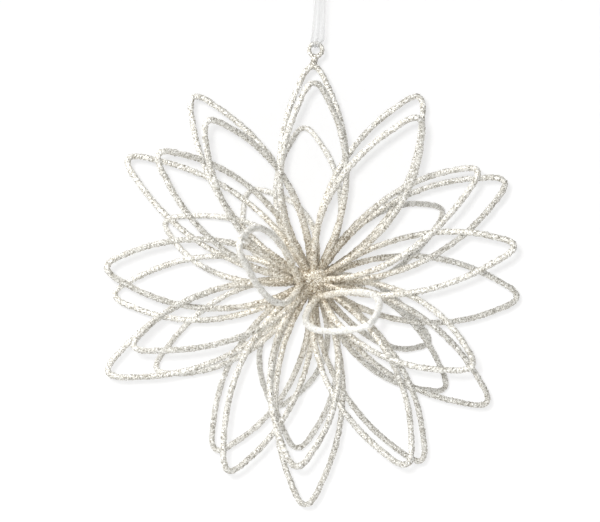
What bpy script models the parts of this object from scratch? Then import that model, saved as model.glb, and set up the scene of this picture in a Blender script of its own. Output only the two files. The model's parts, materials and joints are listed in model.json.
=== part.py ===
"""A glittered wire starburst ornament that hangs on a sheer ribbon.

Thirty-five pointed loops of coated wire radiate from one small hub.  A ring eye stands on the
tip of the top petal, and a looped ribbon runs through it up to a knot.

Frame: metres, +Z up.  The origin is on the knot's flat underside, where a hook carries the
ribbon.  The star faces -Y, and +X is to the right of someone who looks at its face.
"""

import math
from collections import namedtuple
from itertools import product

import bmesh
import bpy
from mathutils import Matrix, Vector
from mathutils.bvhtree import BVHTree

# --- Driving dimensions -----------------------------------------------------------------------
GAP = 0.0003  # air between two pieces that touch on the real ornament

PETAL_REACH = 0.0990  # hub centre to the petal's tip, along the wire's centreline
PETAL_WIDTH = 0.0309  # widest part of the loop, centreline to centreline
PETAL_FOOT = 0.0018  # the two sides of a petal would meet this far from the hub's centre
TIP_BEND_RADIUS = 0.0030
WIRE_RADIUS = 0.0007
WIRE_SIDES = 6
SHARP_EDGE = math.radians(50)  # edges that turn more than this are shaded sharp
SIDE_SEGMENTS = 10
TIP_SEGMENTS = 4

HUB_RADIUS = 0.0080
HUB_SEGMENTS = 20
HUB_RINGS = 12

EYE_HEIGHT = 0.1063  # hub centre to eye centre
EYE_SIDE_OFFSET = 0.0012  # the eye stands a little to the right of the top petal's tip
EYE_RING_RADIUS = 0.0030
EYE_RING_SEGMENTS = 20

RIBBON_LENGTH = 0.0720  # from the top of the eye up to the knot's underside
RIBBON_LEAN = math.radians(3.5)  # to the right, going up
RIBBON_WIDTH = 0.0066
RIBBON_THICKNESS = 0.0005
RIBBON_BOW = 0.0016  # how far each strand bellies out of a straight line
STRAND_SEGMENTS = 8
STRAND_SPREAD = 0.0025  # from the middle plane to a strand; clears the knot's flat underside
STRAND_START = 0.0017  # above the eye's wire, clear of the bight when it turns
STRAND_END_GAP = 0.0009  # lets the strands turn under the knot
STRAND_FLARE = 0.0050  # length over which the gathered ribbon opens to its full width
BIGHT_WIDTH = 0.0022  # the ribbon is gathered where it threads the eye
BIGHT_PLAY = 0.0005  # air between the bight and the eye's wire
BIGHT_LEG = 0.0003
BIGHT_SEGMENTS = 8
KNOT_WIDTH = 0.0080
KNOT_DEPTH = 0.0062
KNOT_HEIGHT = 0.0046
KNOT_BEVEL = 0.0012
KNOT_BEVEL_SEGMENTS = 2
TAIL_LENGTH = 0.0130
TAIL_SPREAD = math.radians(22)

# --- The arrangement of the petals --------------------------------------------------------------
# Petals are listed clockwise from the top.  clock is the direction on the face, lift tilts the
# petal towards the viewer, and roll turns it about its own length, bringing its clockwise side
# forward.  All three are in degrees.  stretch is the petal's length against PETAL_REACH.  foot is
# where the petal's two sides aim, seen from the hub's centre: the face petals rise off centre.
Petal = namedtuple("Petal", "clock lift roll stretch foot", defaults=(1.0, (0, 0, 0)))

PETAL_RINGS = {
    "flat": (
        Petal(0, 0, 6),
        Petal(30, -5, 6),
        Petal(62.5, 2, 14),
        Petal(94.5, -13, 8),
        Petal(125, -5, -12),
        Petal(149, -9, -4),
        Petal(182, 1, -4, 1.04),
        Petal(210, -20, -18),
        Petal(246, 2, -10, 1.04),
        Petal(266, -18, -18),
        Petal(303.5, 2, -12, 1.03),
        Petal(327, 0, -16, 1.02),
    ),
    "front": (
        Petal(0, 28, -16),
        Petal(32.5, 31, -20),
        Petal(56, 30, 18),
        Petal(80, 27, 26),
        Petal(118, 39, 14),
        Petal(153, 24, 12),
        Petal(185.5, 36, 8),
        Petal(204.5, 22, 22),
        Petal(250, 33, -28),
        Petal(274, 22, -8),
        Petal(309.5, 27, -20),
        Petal(326.5, 32, -18),
    ),
    "back": (
        Petal(357, -41, -3),
        Petal(62.5, -43, -12),
        Petal(129, -33, 16),
        Petal(184.5, -32, -10),
        Petal(240.5, -30, -8),
        Petal(292, -39, -18),
    ),
    "deep": (
        Petal(117, -49, 40),
        Petal(196, -49, -5),
        Petal(325, -57, -4),
    ),
    "face": (
        Petal(118, 77, 36, foot=(0.0018, -0.0060, -0.0070)),
        Petal(303, 72, -39, foot=(-0.0055, -0.0050, -0.0016)),
    ),
}

# Small changes of pose, in degrees, that keep every wire clear of the ones already in place.
ROLL_NUDGES = range(-18, 19, 2)
LIFT_NUDGES = range(-6, 7)
CLOCK_NUDGES = (-2, -1.5, -1, -0.5, 0, 0.5, 1, 1.5, 2)
UNSEEN_SHARE = 0.2  # how much a shift in depth counts, against one across the face

# Rounds of the two short searches that shape a petal.
FIRST_TIP_SLOPE = math.radians(35)
TIP_ROUNDS = 4
LEG_HALVINGS = 30

GLITTER_COLOUR = (0.62, 0.58, 0.48)
RIBBON_COLOUR = (0.86, 0.86, 0.85)


# --- Scene helpers --------------------------------------------------------------------------------
def clear_scene():
    for obj in list(bpy.data.objects):
        bpy.data.objects.remove(obj, do_unlink=True)


def make_material(name, colour, roughness, metallic):
    material = bpy.data.materials.new(name)
    material.use_nodes = True
    shader = material.node_tree.nodes["Principled BSDF"]
    shader.inputs["Base Color"].default_value = (*colour, 1.0)
    shader.inputs["Roughness"].default_value = roughness
    shader.inputs["Metallic"].default_value = metallic
    return material


def make_empty(name, location, parent=None):
    empty = bpy.data.objects.new(name, None)
    empty.location = location
    empty.parent = parent
    bpy.context.scene.collection.objects.link(empty)
    return empty


def add_mesh_object(name, geometry, material, parent):
    vertices, faces = geometry
    mesh = bpy.data.meshes.new(name)
    mesh.from_pydata(vertices, [], faces)
    mesh.materials.append(material)
    bm = bmesh.new()
    bm.from_mesh(mesh)
    bmesh.ops.recalc_face_normals(bm, faces=bm.faces)
    bm.to_mesh(mesh)
    bm.free()
    mesh.shade_smooth()
    mesh.set_sharp_from_angle(angle=SHARP_EDGE)
    obj = bpy.data.objects.new(name, mesh)
    obj.parent = parent
    bpy.context.scene.collection.objects.link(obj)
    return obj


def join_with(obj, other):
    """Union of obj with a helper solid, which itself stays out of the model."""
    union = obj.modifiers.new("union_" + other.name, "BOOLEAN")
    union.operation = "UNION"
    union.solver = "EXACT"
    union.object = other
    other.hide_render = True
    other.display_type = "WIRE"


# --- Wire: round tubes along flat paths -----------------------------------------------------------
def tube(path, radius, closed=False):
    """Vertices and faces of a round tube along a path that lies in the local XZ plane."""
    plane_normal = Vector((0, 1, 0))
    count = len(path)
    vertices = []
    for index, point in enumerate(path):
        before = path[index - 1] if closed or index > 0 else point
        after = path[(index + 1) % count] if closed or index < count - 1 else point
        side = (after - before).normalized().cross(plane_normal)
        for step in range(WIRE_SIDES):
            turn = math.tau * step / WIRE_SIDES
            vertices.append(point + radius * (math.cos(turn) * side + math.sin(turn) * plane_normal))
    faces = []
    for index in range(count if closed else count - 1):
        ring, following = index * WIRE_SIDES, (index + 1) % count * WIRE_SIDES
        for step in range(WIRE_SIDES):
            beside = (step + 1) % WIRE_SIDES
            faces.append((ring + step, ring + beside, following + beside, following + step))
    if not closed:
        faces.append(tuple(range(WIRE_SIDES)))
        faces.append(tuple(range((count - 1) * WIRE_SIDES, count * WIRE_SIDES)))
    return vertices, faces


# --- Petals -----------------------------------------------------------------------------------------
def petal_side_arc(reach):
    """Radius and centre height of a side's arc, and the height of the tip bend's centre."""
    half_width = PETAL_WIDTH / 2
    slope = FIRST_TIP_SLOPE
    for _ in range(TIP_ROUNDS):  # the pointed tip and the arc's slope there depend on each other
        pointed_tip = reach + TIP_BEND_RADIUS * (1 / math.sin(slope) - 1)
        half_chord = (pointed_tip - PETAL_FOOT) / 2
        radius = (half_chord**2 + half_width**2) / (2 * half_width)
        slope = math.asin(half_chord / radius)
    middle = PETAL_FOOT + half_chord
    bend_rise = math.sqrt((radius - TIP_BEND_RADIUS) ** 2 - (radius - half_width) ** 2)
    return radius, middle, middle + bend_rise


def petal_path(reach, foot):
    """Centreline of a petal in its own XZ plane, from one leg's end at the hub to the other's.

    foot is the petal's own origin, seen from the hub's centre, in the petal's axes.
    """
    radius, middle, bend_height = petal_side_arc(reach)
    inset = radius - PETAL_WIDTH / 2
    last_angle = math.atan2(bend_height - middle, inset)
    clear_of_hub = HUB_RADIUS + GAP + WIRE_RADIUS / 2

    def on_side(angle, side):
        return Vector((side * (radius * math.cos(angle) - inset), 0, middle + radius * math.sin(angle)))

    def side_points(side):
        low, high = -math.asin((middle - PETAL_FOOT) / radius), 0.0
        for _ in range(LEG_HALVINGS):  # halve the span to find where the leg leaves the hub
            angle = (low + high) / 2
            if (foot + on_side(angle, side)).length < clear_of_hub:
                low = angle
            else:
                high = angle
        step = (last_angle - high) / SIDE_SEGMENTS
        return [on_side(high + step * index, side) for index in range(SIDE_SEGMENTS + 1)]

    tip = []
    for index in range(1, TIP_SEGMENTS):
        angle = last_angle + (math.pi - 2 * last_angle) * index / TIP_SEGMENTS
        offset = Vector((math.cos(angle), 0, math.sin(angle)))
        tip.append(Vector((0, 0, bend_height)) + TIP_BEND_RADIUS * offset)
    return side_points(1) + tip + list(reversed(side_points(-1)))


def petal_pose(petal):
    """Turns the petal's own axes (Z along it, X across it) into the star's."""
    clock = Matrix.Rotation(math.radians(petal.clock), 3, "Y")
    lift = Matrix.Rotation(math.radians(petal.lift), 3, "X")
    roll = Matrix.Rotation(math.radians(-petal.roll), 3, "Z")
    return clock @ lift @ roll


def petal_tube(petal, radius):
    foot = petal_pose(petal).inverted() @ Vector(petal.foot)
    return tube(petal_path(PETAL_REACH * petal.stretch, foot), radius)


def clearance_tree(petal):
    """The petal's wire, thicker by half the gap, for testing against its neighbours."""
    vertices, faces = petal_tube(petal, WIRE_RADIUS + GAP / 2)
    pose, foot = petal_pose(petal), Vector(petal.foot)
    return BVHTree.FromPolygons([pose @ vertex + foot for vertex in vertices], faces)


def visible_change(petal, moved):
    """How far a change of pose shifts the petal's tip and its widest points on the face."""
    landmarks = [Vector((0, 0, PETAL_REACH))]
    landmarks += [Vector((side * PETAL_WIDTH / 2, 0, PETAL_REACH / 2)) for side in (-1, 1)]
    change = petal_pose(moved) - petal_pose(petal)
    seen = sum((change @ landmark).xz.length for landmark in landmarks)
    unseen = sum((change @ landmark).length for landmark in landmarks)
    return seen + UNSEEN_SHARE * unseen


def settle(petal, placed):
    """The pose nearest to the petal's own, on the face, that touches no wire already placed."""
    poses = [petal._replace(roll=petal.roll + roll, lift=petal.lift + lift, clock=petal.clock + clock)
             for roll, lift, clock in product(ROLL_NUDGES, LIFT_NUDGES, CLOCK_NUDGES)]
    for pose in sorted(poses, key=lambda pose: visible_change(petal, pose)):
        tree = clearance_tree(pose)
        if not any(tree.overlap(other) for other in placed):
            placed.append(tree)
            return pose
    raise ValueError(f"no clear pose for {petal}")


def add_petals(glitter, star):
    placed = []
    for ring, petals in PETAL_RINGS.items():
        for index, petal in enumerate(petals, start=1):
            petal = settle(petal, placed)
            name = f"{ring}_petal_{index:02d}"
            obj = add_mesh_object(name, petal_tube(petal, WIRE_RADIUS), glitter, star)
            obj.location = petal.foot
            obj.rotation_euler = petal_pose(petal).to_euler()


# --- Hub and hanging eye --------------------------------------------------------------------------
def add_hub(glitter, star):
    mesh = bpy.data.meshes.new("hub")
    mesh.materials.append(glitter)
    bm = bmesh.new()
    bmesh.ops.create_uvsphere(bm, u_segments=HUB_SEGMENTS, v_segments=HUB_RINGS, radius=HUB_RADIUS)
    bm.to_mesh(mesh)
    bm.free()
    mesh.shade_smooth()
    hub = bpy.data.objects.new("hub", mesh)
    hub.parent = star
    bpy.context.scene.collection.objects.link(hub)


def add_hanging_eye(glitter, star):
    """A ring on a short neck that stands on the tip of the top petal."""
    centre = Vector((EYE_SIDE_OFFSET, 0, EYE_HEIGHT))
    ring_path = []
    for index in range(EYE_RING_SEGMENTS):
        turn = math.tau * index / EYE_RING_SEGMENTS
        ring_path.append(centre + EYE_RING_RADIUS * Vector((math.sin(turn), 0, math.cos(turn))))
    eye = add_mesh_object("hanging_eye", tube(ring_path, WIRE_RADIUS, closed=True), glitter, star)
    top_petal_surface = PETAL_REACH + WIRE_RADIUS + GAP
    neck_path = [Vector((0, 0, top_petal_surface)), centre - Vector((0, 0, EYE_RING_RADIUS))]
    join_with(eye, add_mesh_object("eye_neck", tube(neck_path, WIRE_RADIUS), glitter, star))


# --- Ribbon ---------------------------------------------------------------------------------------
def strip(path, widths):
    """A flat strip of ribbon along a path in the local YZ plane, widths given at each point."""
    vertices = []
    for index, point in enumerate(path):
        before = path[max(index - 1, 0)]
        after = path[min(index + 1, len(path) - 1)]
        outward = (after - before).normalized().cross(Vector((1, 0, 0))) * RIBBON_THICKNESS / 2
        across = Vector((widths[index] / 2, 0, 0))
        vertices += [point - across - outward, point + across - outward,
                     point + across + outward, point - across + outward]
    corners = 4
    faces = [(0, 1, 2, 3), tuple(range(len(vertices) - corners, len(vertices)))]
    for ring in range(0, len(vertices) - corners, corners):
        for corner in range(corners):
            beside = (corner + 1) % corners
            faces.append((ring + corner, ring + beside, ring + corners + beside, ring + corners + corner))
    return vertices, faces


def bight_radius():
    return WIRE_RADIUS + BIGHT_PLAY + RIBBON_THICKNESS / 2


def add_bight(fabric, fold_axis):
    """The U of gathered ribbon that hangs the eye's wire."""
    radius = bight_radius()
    path = [Vector((0, radius, BIGHT_LEG))]
    for index in range(BIGHT_SEGMENTS + 1):
        turn = math.pi * index / BIGHT_SEGMENTS
        path.append(Vector((0, radius * math.cos(turn), -radius * math.sin(turn))))
    path.append(Vector((0, -radius, BIGHT_LEG)))
    add_mesh_object("ribbon_bight", strip(path, [BIGHT_WIDTH] * len(path)), fabric, fold_axis)


def add_strand(name, side, fabric, twist_axis):
    """One of the two strands between the eye and the knot; side is -1 in front, 1 behind."""
    length = RIBBON_LENGTH - STRAND_START - STRAND_END_GAP
    path, widths = [], []
    for index in range(STRAND_SEGMENTS + 1):
        share = (index / STRAND_SEGMENTS) ** 2  # points are closer where the ribbon opens
        depth = bight_radius() * (1 - share) + STRAND_SPREAD * share
        depth += RIBBON_BOW * math.sin(math.pi * share)
        path.append(Vector((0, side * depth, length * share + STRAND_START - RIBBON_LENGTH)))
        opening = min(1, length * share / STRAND_FLARE)
        widths.append(BIGHT_WIDTH + (RIBBON_WIDTH - BIGHT_WIDTH) * math.sin(opening * math.pi / 2))
    add_mesh_object(name, strip(path, widths), fabric, twist_axis)


def box_between(low, high):
    corners = [Vector(corner) for corner in product(*zip(low, high))]
    faces = [(0, 1, 3, 2), (4, 6, 7, 5), (0, 4, 5, 1), (2, 3, 7, 6), (0, 2, 6, 4), (1, 5, 7, 3)]
    return corners, faces


def add_knot(fabric):
    """The knot with its two short tails; its flat underside is the model's origin."""
    half_width, half_depth = KNOT_WIDTH / 2, KNOT_DEPTH / 2
    block = box_between((-half_width, -half_depth, 0), (half_width, half_depth, KNOT_HEIGHT))
    knot = add_mesh_object("ribbon_knot", block, fabric, None)
    rounding = knot.modifiers.new("rounding", "BEVEL")
    rounding.width = KNOT_BEVEL
    rounding.segments = KNOT_BEVEL_SEGMENTS
    for name, side in (("left_tail", -1), ("right_tail", 1)):
        half_tail, half_thickness = RIBBON_WIDTH / 2, RIBBON_THICKNESS / 2
        sheet = box_between((-half_tail, -half_thickness, 0), (half_tail, half_thickness, TAIL_LENGTH))
        tail = add_mesh_object(name, sheet, fabric, None)
        tail.location = (0, side * RIBBON_THICKNESS, KNOT_HEIGHT / 2)
        tail.rotation_euler = (0, side * TAIL_SPREAD, 0)
        join_with(knot, tail)


# --- Assembly -------------------------------------------------------------------------------------
def build():
    clear_scene()
    glitter = make_material("champagne_glitter", GLITTER_COLOUR, 0.45, 0.6)
    fabric = make_material("sheer_ribbon", RIBBON_COLOUR, 0.6, 0.0)

    twist_axis = make_empty("ribbon_twist_axis", (0, 0, 0))
    twist_axis.rotation_euler = (0, RIBBON_LEAN, 0)
    fold_axis = make_empty("ribbon_fold_axis", (0, 0, -RIBBON_LENGTH), twist_axis)
    fold_axis.rotation_euler = (0, -RIBBON_LEAN, 0)
    star = make_empty("star_centre", (-EYE_SIDE_OFFSET, 0, -EYE_RING_RADIUS - EYE_HEIGHT), fold_axis)

    add_hub(glitter, star)
    add_petals(glitter, star)
    add_hanging_eye(glitter, star)
    add_bight(fabric, fold_axis)
    add_strand("ribbon_front_strand", -1, fabric, twist_axis)
    add_strand("ribbon_back_strand", 1, fabric, twist_axis)
    add_knot(fabric)


build()
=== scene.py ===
"""The looks of a starburst ornament: loops of wire under coarse glitter, on a sheer ribbon.

Each CAD wire is replaced by a crust of glitter laid along its own centreline.  The four rigid
ribbon solids are replaced by organza.
"""

import json
import math
from collections import defaultdict

import bmesh
import bpy
import numpy as np
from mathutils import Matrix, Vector, noise


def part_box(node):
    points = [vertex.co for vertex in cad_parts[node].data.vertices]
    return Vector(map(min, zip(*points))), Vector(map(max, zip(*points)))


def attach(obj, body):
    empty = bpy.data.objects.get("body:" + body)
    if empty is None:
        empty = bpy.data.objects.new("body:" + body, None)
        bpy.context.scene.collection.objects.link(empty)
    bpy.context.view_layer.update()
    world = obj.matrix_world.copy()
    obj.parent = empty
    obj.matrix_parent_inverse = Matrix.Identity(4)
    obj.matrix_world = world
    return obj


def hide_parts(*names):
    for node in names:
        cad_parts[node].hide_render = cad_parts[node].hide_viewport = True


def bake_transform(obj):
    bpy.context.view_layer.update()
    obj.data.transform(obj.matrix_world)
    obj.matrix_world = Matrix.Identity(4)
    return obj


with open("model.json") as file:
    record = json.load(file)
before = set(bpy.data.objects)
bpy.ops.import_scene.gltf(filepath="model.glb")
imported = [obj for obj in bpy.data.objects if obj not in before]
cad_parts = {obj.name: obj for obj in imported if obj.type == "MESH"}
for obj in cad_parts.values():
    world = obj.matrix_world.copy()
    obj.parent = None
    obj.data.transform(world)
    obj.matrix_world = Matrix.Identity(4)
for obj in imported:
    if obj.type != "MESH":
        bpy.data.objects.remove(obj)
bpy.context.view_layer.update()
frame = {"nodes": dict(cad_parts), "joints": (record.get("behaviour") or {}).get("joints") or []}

# --- Sizes, in metres -----------------------------------------------------------------------------
CORE_RADIUS = 0.0007  # the CAD's bare wire
CRUST_RADIUS = 0.00133  # wire under its glue and the glitter that lies flat
CRUST_STEP = 0.0006  # from one ring of the crust to the next
ROOT_LENGTH = 0.035  # the crust thickens over this much of each leg, towards the hub
CROWDED_LENGTH = 0.026  # of each leg from the hub, where the legs crowd one another and get painted shade
LEG_EXTENSION = 0.0030  # the legs run on into the hub
GRAIN_SIZE = (0.00016, 0.00034)  # half the length of a loose grain
HUB_LUMP = 0.0005
HUB_ROUGHNESS = 0.00020
FACE_PAINTED_LIGHT_LENGTH = 0.050
EYE_RADIUS = 0.0010  # the crust is thinner on the eye
NECK_RADII = (0.0019, 0.0015, 0.0015)  # from the petal's tip up to the eye

# --- Numbers and shares ---------------------------------------------------------------------------
SEED = 7
CRUST_SIDES = 10
LUMP_SPACING = 4  # rings of the crust from one lump to the next
LUMP_SPREAD = 0.045  # these four are shares of the crust's radius or step
ROUGH_SPREAD = 0.085
ROUGH_LIMIT = 0.2
SLIDE_LIMIT = 0.3
ROOT_SWELL = 0.25
GRAINS_PER_METRE = 15000
GRAIN_LEAN = 0.50
GRAIN_WIDTH = (0.6, 0.95)  # against its length
GRAIN_HEIGHT = (0.25, 0.5)
HUB_SHARE = 0.98  # the glittered lump between the legs, against the CAD hub
HUB_LUMPS = 2.6  # across the hub's radius
HUB_GRAINS = 6000
HUB_GRAIN_SHARE = 0.80

# --- Tones and colours: the darkest glitter is 0, the lightest 1, and a glow is added: painted light, painted shade where negative ---
CRUST_TONES = (0.15, 0.85)  # the flat glitter varies less than the loose grains
# Painted shade where the legs crowd round the hub:
CREVICE_START = 0.45  # hidden share of the outlook at which painted shade begins to darken the glitter
PAINTED_CREVICE_SHADE = 0.18
# Painted shade: these negative glows darken the hub, the eye and its neck, which sit in shade
HUB_PAINTED_SHADE = -0.05
EYE_PAINTED_SHADE = -0.12
NECK_PAINTED_SHADE = -0.28
FACE_PAINTED_LIGHT = {"face_petal_01": 0.34, "face_petal_02": 0.15}  # painted light: these two petals, nearest the camera and lamps, whiten towards their tips
OUTER_COLOURS = ((0.0, (0.18, 0.16, 0.125)), (0.30, (0.47, 0.45, 0.395)),
                 (0.60, (0.77, 0.755, 0.71)), (1.0, (0.92, 0.92, 0.90)))
# Painted shade and painted inter-reflection: browner, more saturated glitter near the hub
HUB_SHADED_COLOURS = ((0.0, (0.24, 0.17, 0.09)), (0.25, (0.54, 0.475, 0.36)),
               (0.55, (0.82, 0.77, 0.665)), (1.0, (0.96, 0.94, 0.885)))
HUB_SHADE_REACH = (0.007, 0.055)  # distance from the hub over which its painted shade and bounced warmth fade
HUB_SHADE_SHARE = 0.95
GRAIN_WEIGHT = 0.75  # what each pattern adds to the tone
SPECK_WEIGHT = 0.72
PATCH_WEIGHT = 0.25
MIDDLE_TONE = 0.385
PATCH_SCALE = 260.0  # patterns to the metre
SPECK_SCALE = 2600.0
FACET_SCALE = 5200.0
SMOOTHEST = 0.36  # roughness at a facet's middle, and what its edge adds
ROUGHNESS_RANGE = 0.25


# --- Node materials -------------------------------------------------------------------------------
class Shader:
    """A node material, built by adding nodes whose inputs are values or other nodes' outputs."""

    def __init__(self, name):
        self.material = bpy.data.materials.new(name)
        self.material.use_nodes = True
        self.tree = self.material.node_tree
        self.tree.nodes.clear()

    def add(self, kind, inputs=None, **settings):
        node = self.tree.nodes.new("ShaderNode" + kind)
        for name, value in settings.items():
            setattr(node, name, value)
        for key, value in (inputs or {}).items():
            if isinstance(value, bpy.types.NodeSocket):
                self.tree.links.new(value, node.inputs[key])
            else:
                node.inputs[key].default_value = value
        return node

    def ramp(self, factor, stops):
        node = self.add("ValToRGB", {"Fac": factor})
        elements = node.color_ramp.elements
        while len(elements) < len(stops):
            elements.new(0.5)
        for element, (position, colour) in zip(elements, stops):
            element.position = position
            element.color = (*colour, 1.0)
        return node.outputs["Color"]

    def math(self, operation, *values, clamp=False):
        inputs = dict(enumerate(values))
        return self.add("Math", inputs, operation=operation, use_clamp=clamp).outputs[0]

    def mix(self, factor, first, second):
        blend = self.add("MixRGB", {"Fac": factor, "Color1": first, "Color2": second})
        return blend.outputs["Color"]

    def finish(self, surface):
        output = self.add("OutputMaterial")
        self.tree.links.new(surface, output.inputs["Surface"])
        return self.material


def glitter_material(hub_centre):
    """Champagne glitter: every grain has its own tone, and painted shade and bounced light deepen it
    near the hub.
    """
    shader = Shader("champagne_glitter")
    place = shader.add("TexCoord").outputs["Object"]
    # The grain attribute holds each grain's random tone plus its painted light and shade
    grain = shader.add("Attribute", attribute_name="grain").outputs["Fac"]
    noises = shader.add("TexNoise", {"Vector": place, "Scale": PATCH_SCALE, "Detail": 2.0})
    cells = shader.add("TexVoronoi", {"Vector": place, "Scale": SPECK_SCALE})
    speck = shader.add("SeparateColor", {"Color": cells.outputs["Color"]}).outputs["Red"]
    tone = shader.math("MULTIPLY", speck, SPECK_WEIGHT)
    tone = shader.math("MULTIPLY_ADD", grain, GRAIN_WEIGHT, tone)
    tone = shader.math("SUBTRACT", tone, MIDDLE_TONE)
    tone = shader.math("MULTIPLY_ADD", noises.outputs["Fac"], PATCH_WEIGHT, tone, clamp=True)
    # Painted shade and inter-reflection: the colour turns browner towards the hub
    away = shader.add("VectorMath", {0: place, 1: tuple(hub_centre)}, operation="DISTANCE")
    near, far = HUB_SHADE_REACH
    inner = shader.add("MapRange", {"Value": away.outputs["Value"],
                                    "From Min": near, "From Max": far,
                                    "To Min": HUB_SHADE_SHARE, "To Max": 0.0})
    colour = shader.mix(inner.outputs["Result"], shader.ramp(tone, OUTER_COLOURS),
                        shader.ramp(tone, HUB_SHADED_COLOURS))
    facets = shader.add("TexVoronoi", {"Vector": place, "Scale": FACET_SCALE}).outputs["Distance"]
    roughness = shader.math("MULTIPLY_ADD", facets, ROUGHNESS_RANGE, SMOOTHEST)
    bump = shader.add("Bump", {"Height": facets, "Strength": 0.35, "Distance": 0.0001})
    surface = shader.add("BsdfPrincipled", {"Base Color": colour, "Metallic": 0.38,
                                            "Roughness": roughness,
                                            "Normal": bump.outputs["Normal"]})
    return shader.finish(surface.outputs["BSDF"])


# --- Wire centrelines, read from the CAD tubes ----------------------------------------------------
RING_EDGE = 0.0009  # edges shorter than this lie round the wire, longer ones along it
WELD = 1e-6


def wire_centreline(node):
    """Centres of a CAD tube's rings of vertices, in order from one end of the wire to the other."""
    bm = bmesh.new()
    bm.from_mesh(node.data)
    bmesh.ops.remove_doubles(bm, verts=bm.verts, dist=WELD)
    ring_of, rings = {}, []
    for start in bm.verts:
        if start in ring_of:
            continue
        ring, waiting = [], [start]
        ring_of[start] = len(rings)
        while waiting:
            vertex = waiting.pop()
            ring.append(vertex.co.copy())
            for edge in vertex.link_edges:
                other = edge.other_vert(vertex)
                if other not in ring_of and edge.calc_length() < RING_EDGE:
                    ring_of[other] = len(rings)
                    waiting.append(other)
        rings.append(ring)
    beside = defaultdict(set)
    for edge in bm.edges:
        first, second = (ring_of[vertex] for vertex in edge.verts)
        if first != second:
            beside[first].add(second)
            beside[second].add(first)
    bm.free()
    order = [min(ring for ring in beside if len(beside[ring]) == 1)]
    while len(order) < len(rings):
        order.append((beside[order[-1]] - set(order)).pop())
    return np.array([sum(rings[ring], Vector()) / len(rings[ring]) for ring in order])


def unit(vectors):
    return vectors / np.linalg.norm(vectors, axis=-1, keepdims=True)


def smooth_curve(points, step):
    """Points about a step apart on a smooth curve through the given ones."""
    points = np.asarray(points, float)
    knots = np.concatenate(([0.0], np.cumsum(np.linalg.norm(np.diff(points, axis=0), axis=1))))
    slopes = np.gradient(points, knots, axis=0)
    places = np.linspace(0.0, knots[-1], max(2, round(knots[-1] / step)) + 1)
    span = np.clip(np.searchsorted(knots, places, side="right") - 1, 0, len(knots) - 2)
    width = (knots[span + 1] - knots[span])[:, None]
    t = (places - knots[span])[:, None] / width
    return ((2 * t**3 - 3 * t**2 + 1) * points[span] + (t**3 - 2 * t**2 + t) * width * slopes[span]
            + (3 * t**2 - 2 * t**3) * points[span + 1] + (t**3 - t**2) * width * slopes[span + 1])


def plane_normal(points):
    return np.linalg.svd(points - points.mean(axis=0))[2][2]


# --- Glitter --------------------------------------------------------------------------------------
def crevice_shade(points, outward, wires):
    """How much painted shade each point gets among the wires: 0 in the open, 1 where they hide the
    outlook.
    """
    hidden = np.zeros(points.shape[:-1])
    for wire in wires:
        away = wire[::2] - points[..., None, :]
        distance = np.linalg.norm(away, axis=-1).clip(CRUST_RADIUS)
        facing = (away * outward[..., None, :]).sum(axis=-1).clip(0) / distance
        hidden += (facing * 4 * CRUST_RADIUS * CRUST_STEP / (math.pi * distance**2)).sum(axis=-1)
    return ((hidden - CREVICE_START) / (1 - CREVICE_START)).clip(0, 1)


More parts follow.
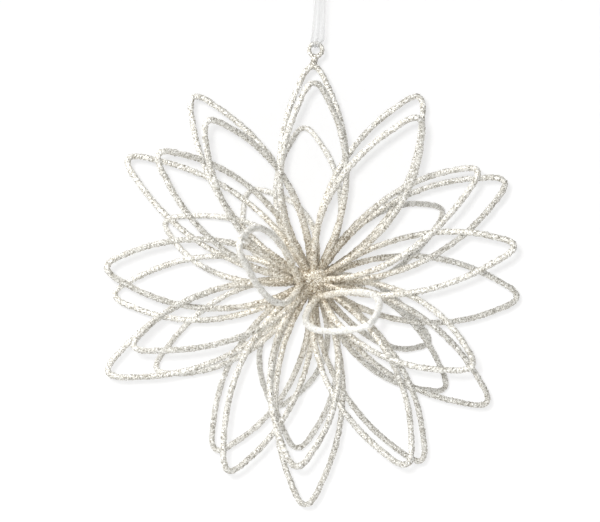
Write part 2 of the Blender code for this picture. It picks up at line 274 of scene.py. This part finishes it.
class Glitter:
    """Collects crust and loose grains, then makes one flat-shaded mesh with a tone for each grain,
    its painted light and shade included.
    """

    def __init__(self, seed):
        self.random = np.random.default_rng(seed)
        self.vertices, self.triangles, self.tones = [], [], []
        self.count = 0

    def add(self, vertices, triangles, tones):
        self.vertices.append(vertices)
        self.triangles.append(triangles + self.count)
        self.tones.append(tones)
        self.count += len(vertices)

    def add_wire(self, path, normal, radius, closed=False, glow=0.0, neighbours=()):
        """A rough tube along the path, and grains that stand out of it.

        The radius and the glow, painted light added to the tone and painted shade where negative, may
        vary along the path.  Neighbours are pairs of rows of the path and the wires whose painted
        shade darkens them.
        """
        tangents = unit(np.gradient(path, axis=0))
        if closed:
            path = path[:-1]
            tangents = unit(np.roll(path, -1, axis=0) - np.roll(path, 1, axis=0))
        count = len(path)
        sides = unit(np.cross(tangents, normal))
        ups = np.cross(sides, tangents)
        twist = self.random.uniform(0, 1, (count, 1))
        turns = math.tau * (np.arange(CRUST_SIDES) + twist) / CRUST_SIDES
        outward = (np.cos(turns)[..., None] * sides[:, None]
                   + np.sin(turns)[..., None] * ups[:, None])
        every = np.arange(0, count + LUMP_SPACING, LUMP_SPACING)
        lumps = self.random.normal(0, LUMP_SPREAD, len(every))
        lumps = np.interp(np.arange(count), every, lumps)[:, None]
        rough = self.random.normal(0, ROUGH_SPREAD, (count, CRUST_SIDES))
        rough = rough.clip(-ROUGH_LIMIT, ROUGH_LIMIT)
        radii = np.broadcast_to(radius, count)[:, None] * (1 + lumps + rough)
        slide = CRUST_STEP * self.random.uniform(-SLIDE_LIMIT, SLIDE_LIMIT, (count, CRUST_SIDES))
        rings = path[:, None] + radii[..., None] * outward + slide[..., None] * tangents[:, None]
        glow = np.broadcast_to(glow, count)[:, None] * np.ones(CRUST_SIDES)
        # Painted shade: the crust and grains darken where other legs hide their outlook
        for rows, blockers in neighbours:
            glow[rows] -= PAINTED_CREVICE_SHADE * crevice_shade(rings[rows], outward[rows], blockers)
        self.add_tube(rings, path, glow, closed)
        length = np.linalg.norm(np.diff(path, axis=0), axis=1).sum()
        number = int(length * GRAINS_PER_METRE)
        ring = self.random.integers(0, count, number)
        side = self.random.integers(0, CRUST_SIDES, number)
        self.add_grains(rings[ring, side], outward[ring, side], glow[ring, side])

    def add_tube(self, rings, path, glow, closed):
        """The crust's faces, from ring to ring, with a cap of triangles on each open end."""
        count = len(rings)
        total = count * CRUST_SIDES
        around = np.arange(CRUST_SIDES)
        beside = (around + 1) % CRUST_SIDES
        here = np.arange(count if closed else count - 1)[:, None] * CRUST_SIDES
        a, b = here + around, here + beside
        c, d = (b + CRUST_SIDES) % total, (a + CRUST_SIDES) % total
        halves = [np.stack(corners, -1).reshape(-1, 3) for corners in ((a, b, c), (a, c, d))]
        vertices, triangles = rings.reshape(-1, 3), np.concatenate(halves)
        face_glow = np.tile(glow.ravel()[a.ravel()], len(halves))
        if not closed:
            vertices = np.concatenate((vertices, path[[0, -1]]))
            face_glow = np.concatenate((face_glow, glow[0], glow[-1]))
            start = np.stack((np.full(CRUST_SIDES, total), beside, around), -1)
            end = np.stack((np.full(CRUST_SIDES, total + 1), around, beside), -1)
            end[:, 1:] += total - CRUST_SIDES
            triangles = np.concatenate((triangles, start, end))
        tones = self.random.uniform(*CRUST_TONES, len(triangles))
        self.add(vertices, triangles, tones + face_glow)

    def add_grains(self, centres, outward, glow, scale=1.0):
        """Thin eight-faced flakes that lie on the crust at random tilts."""
        number = len(centres)
        lean = self.random.normal(0, GRAIN_LEAN, (number, 3))
        up = unit(outward + lean)
        along = unit(np.cross(up, self.random.normal(0, 1, (number, 3))))
        across = np.cross(up, along)
        size = scale * self.random.uniform(*GRAIN_SIZE, (number, 1))
        half_width = size * self.random.uniform(*GRAIN_WIDTH, (number, 1))
        half_height = size * self.random.uniform(*GRAIN_HEIGHT, (number, 1))
        corners = (along * size, -along * size, across * half_width, -across * half_width,
                   up * half_height, -up * half_height)
        vertices = np.stack([centres + corner for corner in corners], axis=1).reshape(-1, 3)
        faces = np.array(((0, 2, 4), (2, 1, 4), (1, 3, 4), (3, 0, 4),
                          (2, 0, 5), (1, 2, 5), (3, 1, 5), (0, 3, 5)))
        triangles = (np.arange(number)[:, None, None] * len(corners) + faces).reshape(-1, 3)
        tones = np.repeat(self.random.uniform(0, 1, number) + glow, len(faces))
        self.add(vertices, triangles, tones)

    def make(self, name, material, node):
        mesh = bpy.data.meshes.new(name)
        mesh.from_pydata(np.concatenate(self.vertices), [], np.concatenate(self.triangles))
        tones = mesh.attributes.new("grain", "FLOAT", "FACE")
        tones.data.foreach_set("value", np.concatenate(self.tones))
        mesh.materials.append(material)
        obj = bpy.data.objects.new(name, mesh)
        bpy.context.scene.collection.objects.link(obj)
        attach(obj, "star")
        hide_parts(node)


def petal_paths():
    """Each petal's centreline from hub to hub, run on into the hub, and the normal of its plane."""
    paths = {}
    for name in sorted(name for name in frame["nodes"] if "petal" in name):
        centres = wire_centreline(frame["nodes"][name])
        ends = [centres[end] + LEG_EXTENSION * unit(centres[end] - centres[inner])
                for end, inner in ((0, 1), (-1, -2))]
        path = smooth_curve([ends[0], *centres, ends[1]], CRUST_STEP)
        paths[name] = path, plane_normal(centres)
    return paths


def legs_by_the_hub(paths):
    """The part of every leg near the hub, keyed by petal and end, in the order of the path."""
    count = round(CROWDED_LENGTH / CRUST_STEP)
    rows = {"start": slice(0, count), "end": slice(-count, None)}
    return {(name, end): (rows[end], path[rows[end]])
            for name, (path, _) in paths.items() for end in rows}


def make_petals(material, hub, paths, legs):
    """A glittered loop on each petal's path, with painted shade where other legs crowd it."""
    for index, (name, (path, normal)) in enumerate(paths.items()):
        glitter = Glitter(SEED + index)
        from_hub = np.linalg.norm(path - np.array(hub), axis=1)
        swell = 1 + ROOT_SWELL * (1 - from_hub / ROOT_LENGTH).clip(0, 1)
        neighbours = [(rows, [other for other_key, (_, other) in legs.items() if other_key != key])
                      for key, (rows, _) in legs.items() if key[0] == name]
        # Painted light: the two face petals whiten towards their tips
        glow = FACE_PAINTED_LIGHT.get(name, 0.0) * smoothstep(from_hub / FACE_PAINTED_LIGHT_LENGTH)
        glitter.add_wire(path, normal, CRUST_RADIUS * swell, glow=glow, neighbours=neighbours)
        glitter.make("glitter_" + name, material, name)


def make_hub(material, centre, legs):
    """The rough glittered ball that the legs run into."""
    low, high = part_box("hub")
    radius = (high - low).x / 2 * HUB_SHARE
    bm = bmesh.new()
    bmesh.ops.create_icosphere(bm, subdivisions=5, radius=1.0)
    outward = np.array([vertex.co for vertex in bm.verts])
    triangles = np.array([[vertex.index for vertex in face.verts] for face in bm.faces])
    bm.free()
    glitter = Glitter(SEED - 1)
    lumps = np.array([noise.noise(Vector(direction) * HUB_LUMPS) for direction in outward])
    radii = radius + HUB_LUMP * lumps + glitter.random.normal(0, HUB_ROUGHNESS, len(outward))
    surface = np.array(centre) + radii[:, None] * outward
    # Painted shade: the hub is darkened a little, and more where the legs crowd it
    glow = HUB_PAINTED_SHADE - PAINTED_CREVICE_SHADE * crevice_shade(surface, outward, [leg for _, leg in legs.values()])
    tones = glitter.random.uniform(0, 1, len(triangles)) + glow[triangles[:, 0]]
    glitter.add(surface, triangles, tones)
    chosen = glitter.random.choice(len(outward), HUB_GRAINS)
    glitter.add_grains(surface[chosen], outward[chosen], glow[chosen], HUB_GRAIN_SHARE)
    glitter.make("glitter_hub", material, "hub")


def make_eye(material, eye_centre, hub):
    """The ring that the ribbon threads, on a neck that rises from the top petal's tip."""
    low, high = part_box("hanging_eye")
    ring_radius = (high - low).x / 2 - CORE_RADIUS
    facing = np.array((0.0, 1.0, 0.0))
    turns = np.linspace(0, math.tau, round(math.tau * ring_radius / CRUST_STEP) + 1)
    circle = np.stack((np.sin(turns), 0 * turns, np.cos(turns)), -1)
    ring = np.array(eye_centre) + ring_radius * circle
    glitter = Glitter(SEED - 2)
    # Painted shade: the ring is darkened, and its neck more so
    glitter.add_wire(ring, facing, EYE_RADIUS, closed=True, glow=EYE_PAINTED_SHADE)
    top, bottom = eye_centre.z - ring_radius, low.z - CORE_RADIUS
    ends = (hub.x, eye_centre.y, bottom), (eye_centre.x, eye_centre.y, top)
    neck = smooth_curve(ends, CRUST_STEP)
    radii = np.interp(np.linspace(0, 1, len(neck)), (0, 0.5, 1), NECK_RADII)
    glitter.add_wire(neck, facing, radii, glow=NECK_PAINTED_SHADE)
    glitter.make("glitter_hanging_eye", material, "hanging_eye")


# --- Ribbon ---------------------------------------------------------------------------------------
RIBBON_WIDTH = 0.0060
RIBBON_STEP = 0.0003
RIBBON_COLUMNS = 33  # vertices across
SHEET = 0.00005  # half the cloth's thickness
EYE_WIDTH = 0.0031  # the ribbon gathered in the eye
FLARE = 0.0032  # height over which it opens out again
FLARE_START = 0.0015  # it starts to open this far below the fold
KNOT_GATHER = 0.0045  # height below the knot over which it closes
KNOT_PINCH = 0.45  # share of its opening that is left at the knot
EYE_PLEAT = 0.00050  # depth of the pleats at the eye and at the knot
PLEAT_FADE = 0.0060
PLEATS = 2.5
RIPPLE = 0.00016
WANDERS = ((0.7, 190.0, 0.0), (0.5, 83.0, 1.0))  # how the pleats sway: turn, pace and start
STRAND_SHIFT = 0.0005  # the strands drift apart sideways, halfway up
LEAN = 0.0009  # both strands hang to the right of a straight line above the eye
LEAN_START = 0.0010
LEAN_HEIGHT = 0.0040
STRAND_TWIST = math.radians(34)
INTO_KNOT = 0.0016
SPLIT = 0.036  # height above the fold where the lower loop meets the upper strands
THREAD_PITCH = (0.00021, 0.00024)
SELVEDGE = (0.0026, 0.0031)  # from the ribbon's middle to where the denser edge starts, is full
CLOTH_COLOUR = (0.70, 0.70, 0.70, 1.0)
WEAVE_COVER = 0.05  # what each pattern adds to the share of light that the cloth stops
STREAK_COVER = 0.10
SLANT_COVER = 0.22
GATHER_COVER = 0.20
SELVEDGE_COVER = 0.14


def ribbon_material():
    """Sheer organza: fine threads both ways, a denser selvedge, and light through the cloth."""
    shader = Shader("sheer_organza")
    uv = shader.add("UVMap", uv_map="ribbon").outputs["UV"]
    split = shader.add("SeparateXYZ", {"Vector": uv})
    across, along = split.outputs["X"], split.outputs["Y"]
    threads = []
    for coordinate, pitch in zip((across, along), THREAD_PITCH):
        wave = shader.math("SINE", shader.math("MULTIPLY", coordinate, math.tau / pitch))
        threads.append(shader.math("MULTIPLY_ADD", wave, 0.5, 0.5))
    weave = shader.math("MAXIMUM", *threads)
    start, full = SELVEDGE
    selvedge = shader.add("MapRange", {"Value": shader.math("ABSOLUTE", across),
                                       "From Min": start, "From Max": full}).outputs["Result"]
    stretched = shader.add("Mapping", {"Vector": uv, "Scale": (1.0, 0.06, 1.0)}).outputs["Vector"]
    streaks = shader.add("TexNoise", {"Vector": stretched, "Scale": 900.0, "Detail": 3.0})
    slant = shader.add("LayerWeight", {"Blend": 0.5}).outputs["Facing"]
    gather = shader.add("Attribute", attribute_name="gather").outputs["Fac"]
    cover = shader.math("MULTIPLY", weave, WEAVE_COVER)
    cover = shader.math("MULTIPLY_ADD", streaks.outputs["Fac"], STREAK_COVER, cover)
    cover = shader.math("MULTIPLY_ADD", slant, SLANT_COVER, cover)
    cover = shader.math("MULTIPLY_ADD", gather, GATHER_COVER, cover)
    cover = shader.math("MULTIPLY_ADD", selvedge, SELVEDGE_COVER, cover, clamp=True)
    cloth = shader.add("BsdfPrincipled", {"Base Color": CLOTH_COLOUR, "Roughness": 0.55,
                                          "Sheen Weight": 0.3, "Sheen Roughness": 0.4})
    through = shader.add("BsdfTranslucent", {"Color": CLOTH_COLOUR})
    fibre = shader.add("MixShader", {0: 0.4, 1: cloth.outputs[0], 2: through.outputs[0]})
    clear = shader.add("BsdfTransparent")
    surface = shader.add("MixShader", {0: cover, 1: clear.outputs[0], 2: fibre.outputs[0]})
    return shader.finish(surface.outputs[0])


def quads(*corners):
    return np.stack(corners, -1).reshape(-1, len(corners))


def add_cloth(name, grid, texture, material, gather=0.0):
    """A thin closed shell about a grid of points, with threads that follow the texture's metres.

    Gather, from 0 to 1, is how tightly the cloth is pleated at each row of points.
    """
    rows, columns = grid.shape[:2]
    normals = unit(np.cross(np.gradient(grid, axis=0), np.gradient(grid, axis=1)))
    vertices = np.concatenate([(grid + side * SHEET * normals).reshape(-1, 3) for side in (1, -1)])
    front = np.arange(rows * columns).reshape(rows, columns)
    back = front + rows * columns
    faces = np.concatenate((
        quads(front[:-1, :-1], front[1:, :-1], front[1:, 1:], front[:-1, 1:]),
        quads(back[:-1, :-1], back[:-1, 1:], back[1:, 1:], back[1:, :-1]),
        quads(front[0, :-1], front[0, 1:], back[0, 1:], back[0, :-1]),
        quads(front[-1, :-1], back[-1, :-1], back[-1, 1:], front[-1, 1:]),
        quads(front[:-1, 0], back[:-1, 0], back[1:, 0], front[1:, 0]),
        quads(front[:-1, -1], front[1:, -1], back[1:, -1], back[:-1, -1])))
    mesh = bpy.data.meshes.new(name)
    mesh.from_pydata(vertices, [], faces)
    uv = np.tile(texture.reshape(-1, 2), (2, 1))[faces.ravel()]
    mesh.uv_layers.new(name="ribbon").data.foreach_set("uv", uv.ravel())
    gathers = np.tile(np.repeat(np.broadcast_to(gather, rows), columns), 2)
    mesh.attributes.new("gather", "FLOAT", "POINT").data.foreach_set("value", gathers)
    mesh.shade_smooth()
    mesh.materials.append(material)
    obj = bpy.data.objects.new(name, mesh)
    bpy.context.scene.collection.objects.link(obj)
    return obj


def smoothstep(values):
    values = np.clip(values, 0, 1)
    return values * values * (3 - 2 * values)


def strand_stations(name, fold, up):
    """Height above the fold and depth of each of a CAD strand's cross sections, from the eye up."""
    vertices = np.array([vertex.co for vertex in frame["nodes"][name].data.vertices])
    heights = (vertices - np.array(fold)) @ np.array(up)
    order = np.argsort(heights)
    breaks = np.nonzero(np.diff(heights[order]) > RING_EDGE)[0] + 1
    return [(heights[group].mean(), vertices[group, 1].mean())
            for group in np.split(order, breaks)]


def ribbon_path(fold, length, up):
    """(height, depth) points from the knot down the front, through the eye, and up behind."""
    strands = [strand_stations(name, fold, up)
               for name in ("ribbon_front_strand", "ribbon_back_strand")]
    radius = abs(strands[0][0][1])
    loop = [(-radius * math.sin(turn), -radius * math.cos(turn))
            for turn in np.linspace(0, math.pi, 9)]
    ends = [(length + INTO_KNOT, strand[-1][1] / 2) for strand in strands]
    return smooth_curve([ends[0], *reversed(strands[0]), *loop, *strands[1], ends[1]], RIBBON_STEP)


def make_ribbon(material, fold, knot):
    """Both strands and the loop through the eye, as one sheet of cloth cut in three."""
    up = (knot - fold).normalized()
    across = np.array((up.z, 0.0, -up.x))
    length = (knot - fold).length
    heights, depths = ribbon_path(fold, length, up).T
    share = (heights / length).clip(0, 1)
    bow = np.sin(math.pi * share)[:, None]
    side = np.sign(depths)[:, None]
    path = np.array(fold) + heights[:, None] * np.array(up) + depths[:, None] * np.array((0, 1, 0))
    lean = LEAN * smoothstep((heights + LEAN_START) / LEAN_HEIGHT) * (1 - share**2)
    path = path + (side * bow * STRAND_SHIFT + lean[:, None]) * across
    tangents = unit(np.gradient(path, axis=0))
    outward = unit(np.cross(tangents, across))
    knot_opening = KNOT_PINCH + (1 - KNOT_PINCH) * smoothstep((length - heights) / KNOT_GATHER)
    opening = smoothstep((heights + FLARE_START) / FLARE) * knot_opening
    widths = EYE_WIDTH + (RIBBON_WIDTH - EYE_WIDTH) * opening
    gather = (np.exp(-heights.clip(0) / PLEAT_FADE)
              + np.exp(-(length - heights).clip(0) / PLEAT_FADE))
    depth_of_pleats = EYE_PLEAT * gather + RIPPLE
    column = np.linspace(-1, 1, RIBBON_COLUMNS)[None]
    steps = np.linalg.norm(np.diff(path, axis=0), axis=1)
    along = np.concatenate(([0], np.cumsum(steps)))[:, None]
    wander = sum(turn * np.sin(along * pace + start) for turn, pace, start in WANDERS)
    rise = depth_of_pleats[:, None] * (0.5 + 0.5 * np.cos(math.pi * PLEATS * column + wander))
    turn = side * bow * STRAND_TWIST
    sideways = widths[:, None] / 2 * column
    grid = (path[:, None] + (sideways * np.cos(turn) - rise * np.sin(turn))[..., None] * across
            + (rise * np.cos(turn) + sideways * np.sin(turn))[..., None] * outward[:, None])
    texture = np.stack(np.broadcast_arrays(column * RIBBON_WIDTH / 2, along), -1)
    low_rows = np.nonzero(heights < SPLIT)[0]
    first, last = low_rows[0], low_rows[-1]
    for name, node, rows in (("organza_front", "ribbon_front_strand", slice(0, first + 1)),
                             ("organza_back", "ribbon_back_strand", slice(last, None))):
        strand = add_cloth(name, grid[rows], texture[rows], material, gather[rows])
        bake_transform(strand)
        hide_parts(node)
    rows = slice(first, last + 1)
    loop = add_cloth("organza_loop", grid[rows], texture[rows], material, gather[rows])
    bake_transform(loop)
    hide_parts("ribbon_bight")


# The knot is two creased bands round the gathered strands, with two tails.
KNOT_RISE = 0.0023  # the knot's middle, above the joint where the strands twist
KNOT_WIDTH = 1.12  # against half the CAD knot's depth
KNOT_DEPTH = 0.80
KNOT_BANDS = (("organza_wrap", 0.0021, 1.0, math.radians(12)),  # half height, size and tilt
              ("organza_cross", 0.0013, 1.10, math.radians(-36)))
BAND_STEPS = 97
BAND_CREASE = 0.00016
BAND_CREASES = 2.5
BAND_TURN_IN = 0.0011
BAND_ROUNDING = 0.98
TAIL_ROWS = 44
TAIL_LEAN = math.radians(22)
TAIL_CURL = 0.0016
TAIL_START = 0.0006  # from the knot's middle, towards the front or back
TAIL_GATHER = 0.42  # share of the ribbon's width where a tail leaves the knot
TAIL_FLARE = 1.8
TAIL_CUT = 0.16  # the cut end slants by this share of the tail's length
TAIL_FOLD = 0.0006
TAIL_FOLD_FADE = 1.15  # the folds would vanish at this share of the tail's length


def make_band(material, middle, depth, name, half_height, share, tilt):
    """A closed band of cloth, rounded over its edges and creased along its length."""
    turns = np.linspace(0, math.tau, BAND_STEPS)[:, None]
    level = np.linspace(-1, 1, RIBBON_COLUMNS)[None]
    crease = BAND_CREASE * np.sin(math.tau * BAND_CREASES * level + 2 * np.sin(turns))
    swell = BAND_TURN_IN * (np.sqrt(1 - (BAND_ROUNDING * level) ** 2) - 1) + crease
    x = (depth * KNOT_WIDTH * share + swell) * np.cos(turns)
    y = (depth * KNOT_DEPTH * share + swell) * np.sin(turns)
    z = half_height * level + x * math.tan(tilt)
    grid = np.stack(np.broadcast_arrays(x, y, z), -1) + middle
    texture = np.stack(np.broadcast_arrays(level * RIBBON_WIDTH / 2, turns * depth), -1)
    return add_cloth(name, grid, texture, material)


def make_tail(material, middle, top, name, side):
    """A loose end that rises from the knot, opens out and curls away."""
    share = np.linspace(0, 1, TAIL_ROWS)[:, None]
    level = np.linspace(-1, 1, RIBBON_COLUMNS)[None]
    lean = side * TAIL_LEAN
    length = (top - middle[2]) / math.cos(lean) - RIBBON_WIDTH / 2 * abs(math.tan(lean))
    gather = TAIL_GATHER + (1 - TAIL_GATHER) * smoothstep(share * TAIL_FLARE)
    sideways = RIBBON_WIDTH / 2 * gather * level
    rise = length * share * (1 - TAIL_CUT * (level * side + 1) / 2)
    fold = TAIL_FOLD * (TAIL_FOLD_FADE - share) * np.cos(math.pi * PLEATS * level + 2 * share)
    away = side * (TAIL_START + TAIL_CURL * share**2) + fold
    x = sideways * math.cos(lean) + rise * math.sin(lean)
    z = rise * math.cos(lean) - sideways * math.sin(lean)
    grid = np.stack(np.broadcast_arrays(x, away, z), -1) + middle
    texture = np.stack(np.broadcast_arrays(level * RIBBON_WIDTH / 2, rise), -1)
    return add_cloth(name, grid, texture, material)


def make_knot(material):
    low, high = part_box("ribbon_knot")
    middle = np.array((0.0, 0.0, KNOT_RISE))
    pieces = [make_band(material, middle, (high.y - low.y) / 2, *band) for band in KNOT_BANDS]
    pieces += [make_tail(material, middle, high.z, name, side)
               for name, side in (("organza_tail_left", -1), ("organza_tail_right", 1))]
    for piece in pieces:
        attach(piece, "ribbon_top")
        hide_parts("ribbon_knot")


# --- Stage, light and camera ----------------------------------------------------------------------
VIEW_WIDTH = 0.276  # the width of the picture at the star
CAMERA_DISTANCE = 0.966
SENSOR = 36.0
AIM_LEFT = 0.0060  # the star's hub sits a little right of and below the picture's middle
AIM_ABOVE = 0.0092
WALL_BEHIND = 0.096
WALL_HALF_WIDTH = 0.45
WALL_ABOVE = 0.32
FLOOR_BELOW = 0.24
COVE_RADIUS = 0.08
FLOOR_FORWARD = 1.6
COVE_STEPS = 16
PAPER_WHITES = ((0.0, (0.69, 0.69, 0.69)), (1.0, (0.71, 0.71, 0.71)))
PAPER_GLOW = 0.425  # tops the lit paper up to white
ROOM_LIGHT = 0.46
F_STOP = 18.0
# Softboxes light the star alone.  Each light has a place from the hub, a power and a diameter.
SOFTBOXES = {"key_softbox": ((-0.33, -0.26, 0.27), 2.5, 0.26),
             "front_softbox": ((-0.05, -0.86, 0.28), 0.40, 0.70)}
LAMP_LEFT = 0.019  # the lamp beside the camera
LAMP_ABOVE = 0.021
LAMP_POWER = 3.2
LAMP_SIZE = 0.024


def make_camera(hub):
    focus = bpy.data.objects.new("focus", None)
    focus.location = hub
    bpy.context.scene.collection.objects.link(focus)
    data = bpy.data.cameras.new("camera")
    data.sensor_width = SENSOR
    data.lens = SENSOR * CAMERA_DISTANCE / VIEW_WIDTH
    data.dof.use_dof = True
    data.dof.focus_object = focus
    data.dof.aperture_fstop = F_STOP
    camera = bpy.data.objects.new("camera", data)
    camera.location = hub + Vector((-AIM_LEFT, -CAMERA_DISTANCE, AIM_ABOVE))
    camera.rotation_euler = (math.radians(90), 0, 0)
    bpy.context.scene.collection.objects.link(camera)
    bpy.context.scene.camera = camera


def backdrop_material():
    """White paper that is clear from behind, so the star can be seen from every side."""
    shader = Shader("white_backdrop")
    grain = shader.add("TexNoise", {"Scale": 900.0, "Detail": 3.0}).outputs["Fac"]
    colour = shader.ramp(grain, PAPER_WHITES)
    paper = shader.add("BsdfDiffuse", {"Color": colour})
    glow = shader.add("Emission", {"Color": (1, 1, 1, 1), "Strength": PAPER_GLOW})
    lit = shader.add("AddShader", {0: paper.outputs[0], 1: glow.outputs[0]})
    clear = shader.add("BsdfTransparent")
    behind = shader.add("NewGeometry").outputs["Backfacing"]
    surface = shader.add("MixShader", {0: behind, 1: lit.outputs[0], 2: clear.outputs[0]})
    return shader.finish(surface.outputs[0])


def make_backdrop(hub):
    """A wall that curves into the floor, facing the star."""
    wall, floor = hub.y + WALL_BEHIND, hub.z - FLOOR_BELOW
    profile = [(wall, hub.z + WALL_ABOVE)]
    for index in range(COVE_STEPS + 1):
        turn = math.pi / 2 * index / COVE_STEPS
        profile.append((wall - COVE_RADIUS * (1 - math.cos(turn)),
                        floor + COVE_RADIUS * (1 - math.sin(turn))))
    profile.append((wall - FLOOR_FORWARD, floor))
    vertices = [(hub.x + side * WALL_HALF_WIDTH, y, z) for y, z in profile for side in (-1, 1)]
    faces = [(index, index + 2, index + 3, index + 1) for index in range(0, len(vertices) - 2, 2)]
    mesh = bpy.data.meshes.new("backdrop")
    mesh.from_pydata(vertices, [], faces)
    mesh.shade_smooth()
    mesh.materials.append(backdrop_material())
    backdrop = bpy.data.objects.new("backdrop", mesh)
    bpy.context.scene.collection.objects.link(backdrop)
    return backdrop


def aim(obj, target):
    obj.rotation_mode = "QUATERNION"
    obj.rotation_quaternion = (target - obj.location).to_track_quat("-Z", "Y")


def add_light(name, hub, offset, energy, size, spared=None):
    data = bpy.data.lights.new(name, "AREA")
    data.energy = energy
    data.shape = "DISK"
    data.size = size
    light = bpy.data.objects.new(name, data)
    light.location = hub + Vector(offset)
    aim(light, hub)
    light.visible_camera = False
    light.light_linking.receiver_collection = spared
    bpy.context.scene.collection.objects.link(light)


def make_lights(hub, backdrop):
    """Soft light for the star, and one small lamp that also casts its faint shadow behind it."""
    spared = bpy.data.collections.new("not_lit_by_softboxes")
    spared.objects.link(backdrop)
    spared.collection_objects[0].light_linking.link_state = "EXCLUDE"
    for name, (offset, power, size) in SOFTBOXES.items():
        add_light(name, hub, offset, power, size, spared)
    offset = (-AIM_LEFT - LAMP_LEFT, -CAMERA_DISTANCE, AIM_ABOVE + LAMP_ABOVE)
    add_light("front_lamp", hub, offset, LAMP_POWER, LAMP_SIZE)


def make_world():
    """An even room light.  The camera sees pure white past the backdrop's edges."""
    world = bpy.data.worlds.new("studio")
    bpy.context.scene.world = world
    world.use_nodes = True
    nodes, links = world.node_tree.nodes, world.node_tree.links
    nodes.clear()
    mix = nodes.new("ShaderNodeMixShader")
    for socket, strength in ((1, ROOM_LIGHT), (2, 1.0)):
        background = nodes.new("ShaderNodeBackground")
        background.inputs["Color"].default_value = (1, 1, 1, 1)
        background.inputs["Strength"].default_value = strength
        links.new(background.outputs[0], mix.inputs[socket])
    rays = nodes.new("ShaderNodeLightPath")
    links.new(rays.outputs["Is Camera Ray"], mix.inputs[0])
    output = nodes.new("ShaderNodeOutputWorld")
    links.new(mix.outputs[0], output.inputs["Surface"])


def set_colours():
    view = bpy.context.scene.view_settings
    view.view_transform = "Standard"
    view.look = "None"


# --- Assembly -------------------------------------------------------------------------------------
def build():
    pivots = {joint["name"]: Vector(joint["pos_m"]) for joint in frame["joints"]}
    low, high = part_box("hub")
    hub = (low + high) / 2
    glitter = glitter_material(hub)
    paths = petal_paths()
    legs = legs_by_the_hub(paths)
    make_petals(glitter, hub, paths, legs)
    make_hub(glitter, hub, legs)
    make_eye(glitter, pivots["star_swing"], hub)
    organza = ribbon_material()
    make_ribbon(organza, pivots["star_tip"], pivots["ribbon_twist"])
    make_knot(organza)
    make_lights(hub, make_backdrop(hub))
    make_world()
    make_camera(hub)
    set_colours()


build()
